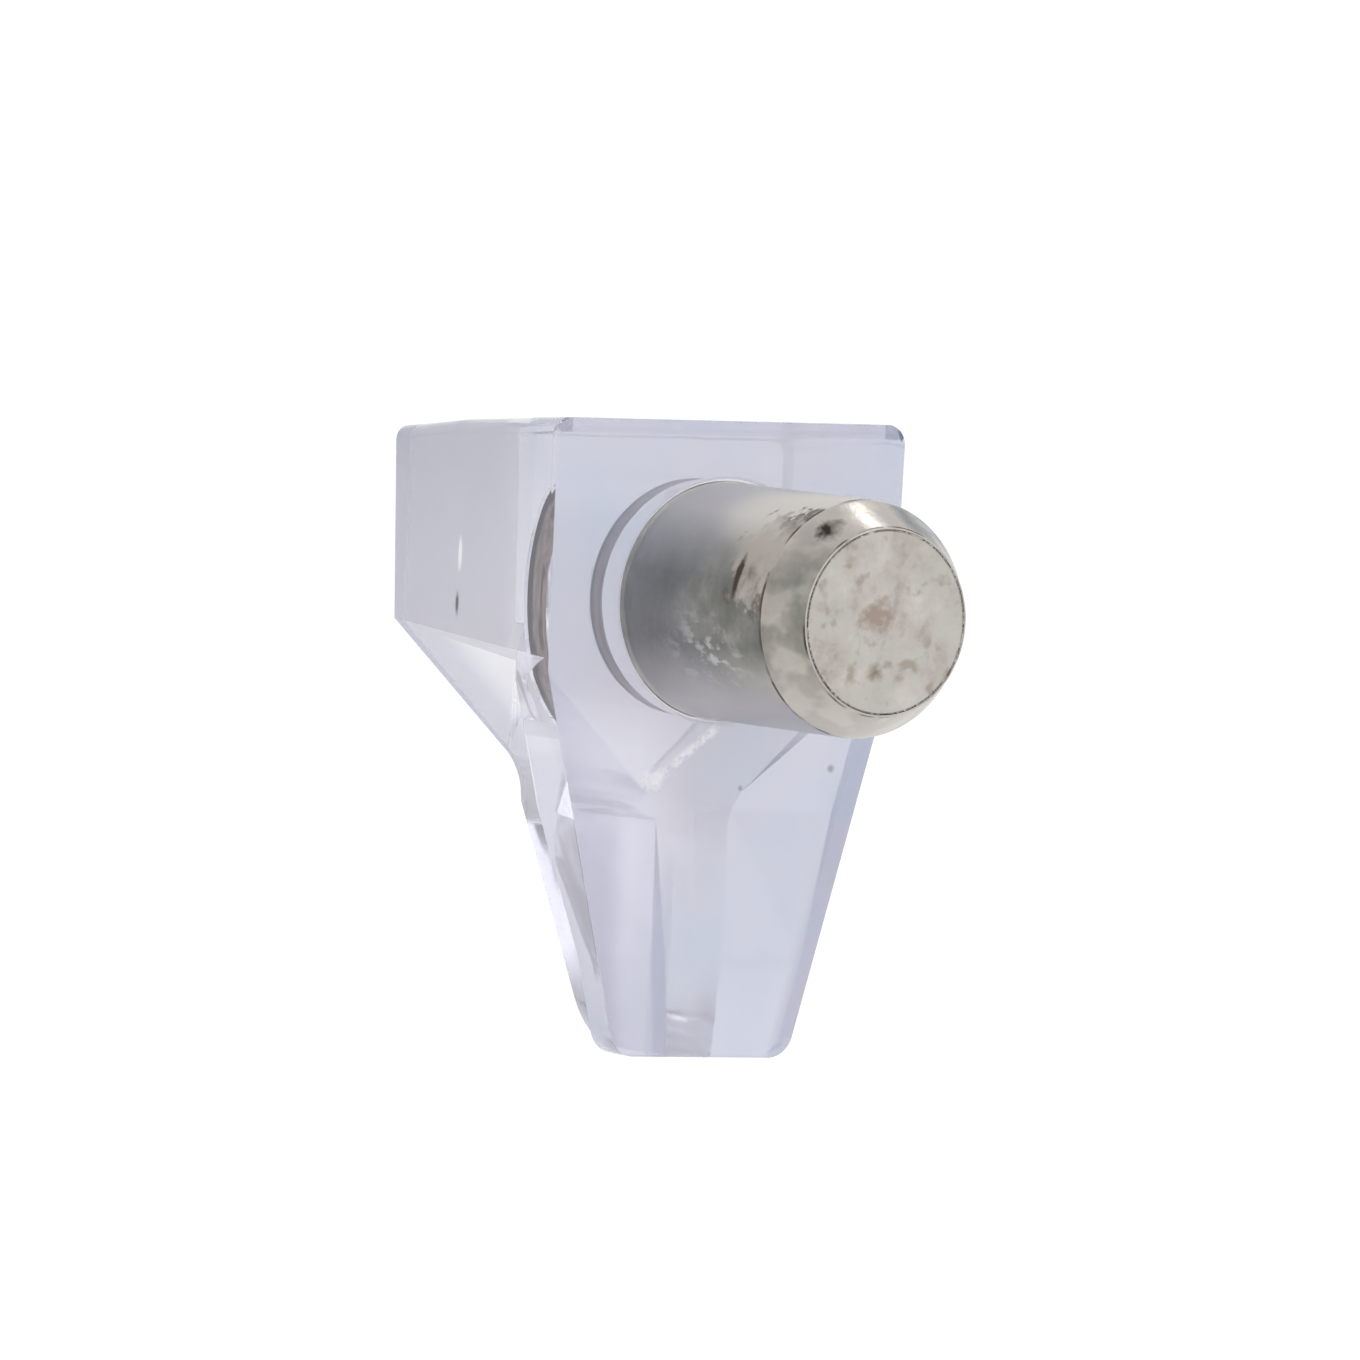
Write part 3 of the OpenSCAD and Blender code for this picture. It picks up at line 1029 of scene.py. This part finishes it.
def paper_floor():
    """Pale matte paper: white to the eye and in the part's reflections, with its shadow kept."""
    finish, tree, shader, _ = new_finish("white_paper", Roughness=0.9)
    wire(tree, shader, {"Base Color": grey(0.8), "Specular IOR Level": 0.0})
    # of what is seen directly, three quarters is glow, and the rest is paper in the lamps' light
    glow = add_node(tree, "ShaderNodeEmission", {"Color": grey(1.0), "Strength": 1.15})
    share_of_glow = add_node(tree, "ShaderNodeMath", {0: seen_directly(tree), 1: 0.75},
                             operation="MULTIPLY")
    paper = add_node(tree, "ShaderNodeMixShader", {0: share_of_glow, 1: shader, 2: glow})
    wire(tree, tree.nodes["Material Output"], {"Surface": paper})
    return finish


def set_sky(stage):
    """A soft room: white paper behind and below, dimmer toward the eye's side."""
    world = bpy.data.worlds.new("studio")
    bpy.context.scene.world = world
    world.use_nodes = True
    tree = world.node_tree
    path = add_node(tree, "ShaderNodeLightPath").outputs
    way = add_node(tree, "ShaderNodeTexCoord").outputs["Generated"]
    _, y, z = add_node(tree, "ShaderNodeSeparateXYZ", {0: way}).outputs
    # from straight below, at 0, to straight above, at 1
    height = add_node(tree, "ShaderNodeMapRange", {0: z, 1: -1.0, 2: 1.0})
    room = add_node(tree, "ShaderNodeValToRGB", {0: height}, stops=(
        (0.48, grey(1.0)), (0.55, grey(stage.room)), (0.8, grey(stage.room)), (0.97, grey(0.75)),
    ))
    behind = add_node(tree, "ShaderNodeMapRange", {0: y, 1: -0.1, 2: 0.35})
    room = layered(tree, room, ((behind, grey(1.0)), (path["Is Camera Ray"], grey(1.0))))
    room = layered(tree, grey(stage.ambient), ((seen_directly(tree), room),))
    wire(tree, tree.nodes["Background"], {"Color": room})


def soft_lamp(name, place, width, power):
    """A square softbox that faces the part."""
    lamp = bpy.data.lights.new(name, "AREA")
    lamp.shape, lamp.size, lamp.energy = "SQUARE", width, power
    holder = bpy.data.objects.new(name, lamp)
    bpy.context.scene.collection.objects.link(holder)
    holder.location = place
    holder.rotation_euler = (Vector(place) - LIT_POINT).to_track_quat("Z", "Y").to_euler()


def set_camera(stage):
    """A long lens from the left front, a little above the pin."""
    toward = Vector((
        math.sin(stage.azimuth) * math.cos(stage.elevation),
        -math.cos(stage.azimuth) * math.cos(stage.elevation), math.sin(stage.elevation),
    ))
    turn = toward.to_track_quat("Z", "Y").to_matrix().to_4x4()
    turn = turn @ Matrix.Rotation(stage.roll, 4, "Z")
    lens = bpy.data.cameras.new("camera")
    lens.sensor_width, lens.lens = 36.0, stage.lens
    lens.clip_start, lens.clip_end = 0.01, 20.0
    camera = bpy.data.objects.new("camera", lens)
    bpy.context.scene.collection.objects.link(camera)
    camera.matrix_world = Matrix.Translation(
        Vector(stage.look_at) * MM + toward * stage.distance) @ turn
    bpy.context.scene.camera = camera


class SHELF_OT_stage(bpy.types.Operator):
    """Lays the floor, hangs the lamps and places the camera."""

    bl_idname = "shelf.stage"
    bl_label = "Set the stage"

    def execute(self, context):
        scene = context.scene
        stage = scene.stage_settings
        deselect()
        floor_height = BODY_LOW.z - stage.floor_gap
        bpy.ops.mesh.primitive_plane_add(size=8.0, location=(0, 0, floor_height))
        floor = bpy.context.object
        floor.name = "floor"
        floor.data.materials.append(paper_floor())
        set_sky(stage)
        for softbox in SOFTBOXES:
            soft_lamp(*softbox)
        set_camera(stage)
        scene.cycles.max_bounces = BOUNCES
        scene.cycles.glossy_bounces = BOUNCES
        scene.cycles.transmission_bounces = BOUNCES
        scene.view_settings.view_transform = "Standard"
        return {"FINISHED"}


class SHELF_PT_support(bpy.types.Panel):
    """Lists the steps and the settings that they read."""

    bl_idname = "SHELF_PT_support"
    bl_label = "Shelf support"
    bl_space_type = "VIEW_3D"
    bl_region_type = "UI"
    bl_category = "Shelf support"

    def draw(self, context):
        scene = context.scene
        for step in (SHELF_OT_moulding, SHELF_OT_pin, SHELF_OT_stage):
            self.layout.operator(step.bl_idname)
        for settings in (scene.moulding_sizes, scene.pin_sizes, scene.finishes,
                         scene.stage_settings):
            box = self.layout.box()
            for key in settings.__annotations__:
                box.prop(settings, key)


CLASSES = (MouldingSizes, PinSizes, Finishes, StageSettings, SHELF_OT_moulding,
           SHELF_OT_pin, SHELF_OT_stage, SHELF_PT_support)


def register():
    """Registers the classes and the settings that they read."""
    for item in CLASSES:
        bpy.utils.register_class(item)
    bpy.types.Scene.moulding_sizes = bpy.props.PointerProperty(type=MouldingSizes)
    bpy.types.Scene.pin_sizes = bpy.props.PointerProperty(type=PinSizes)
    bpy.types.Scene.finishes = bpy.props.PointerProperty(type=Finishes)
    bpy.types.Scene.stage_settings = bpy.props.PointerProperty(type=StageSettings)


def unregister():
    """Takes the settings and the classes away again."""
    del bpy.types.Scene.stage_settings
    del bpy.types.Scene.finishes
    del bpy.types.Scene.pin_sizes
    del bpy.types.Scene.moulding_sizes
    for item in reversed(CLASSES):
        bpy.utils.unregister_class(item)


def main():
    """Models the support and sets the stage."""
    register()
    bpy.ops.shelf.moulding()
    bpy.ops.shelf.pin()
    bpy.ops.shelf.stage()


if __name__ == "__main__":
    main()
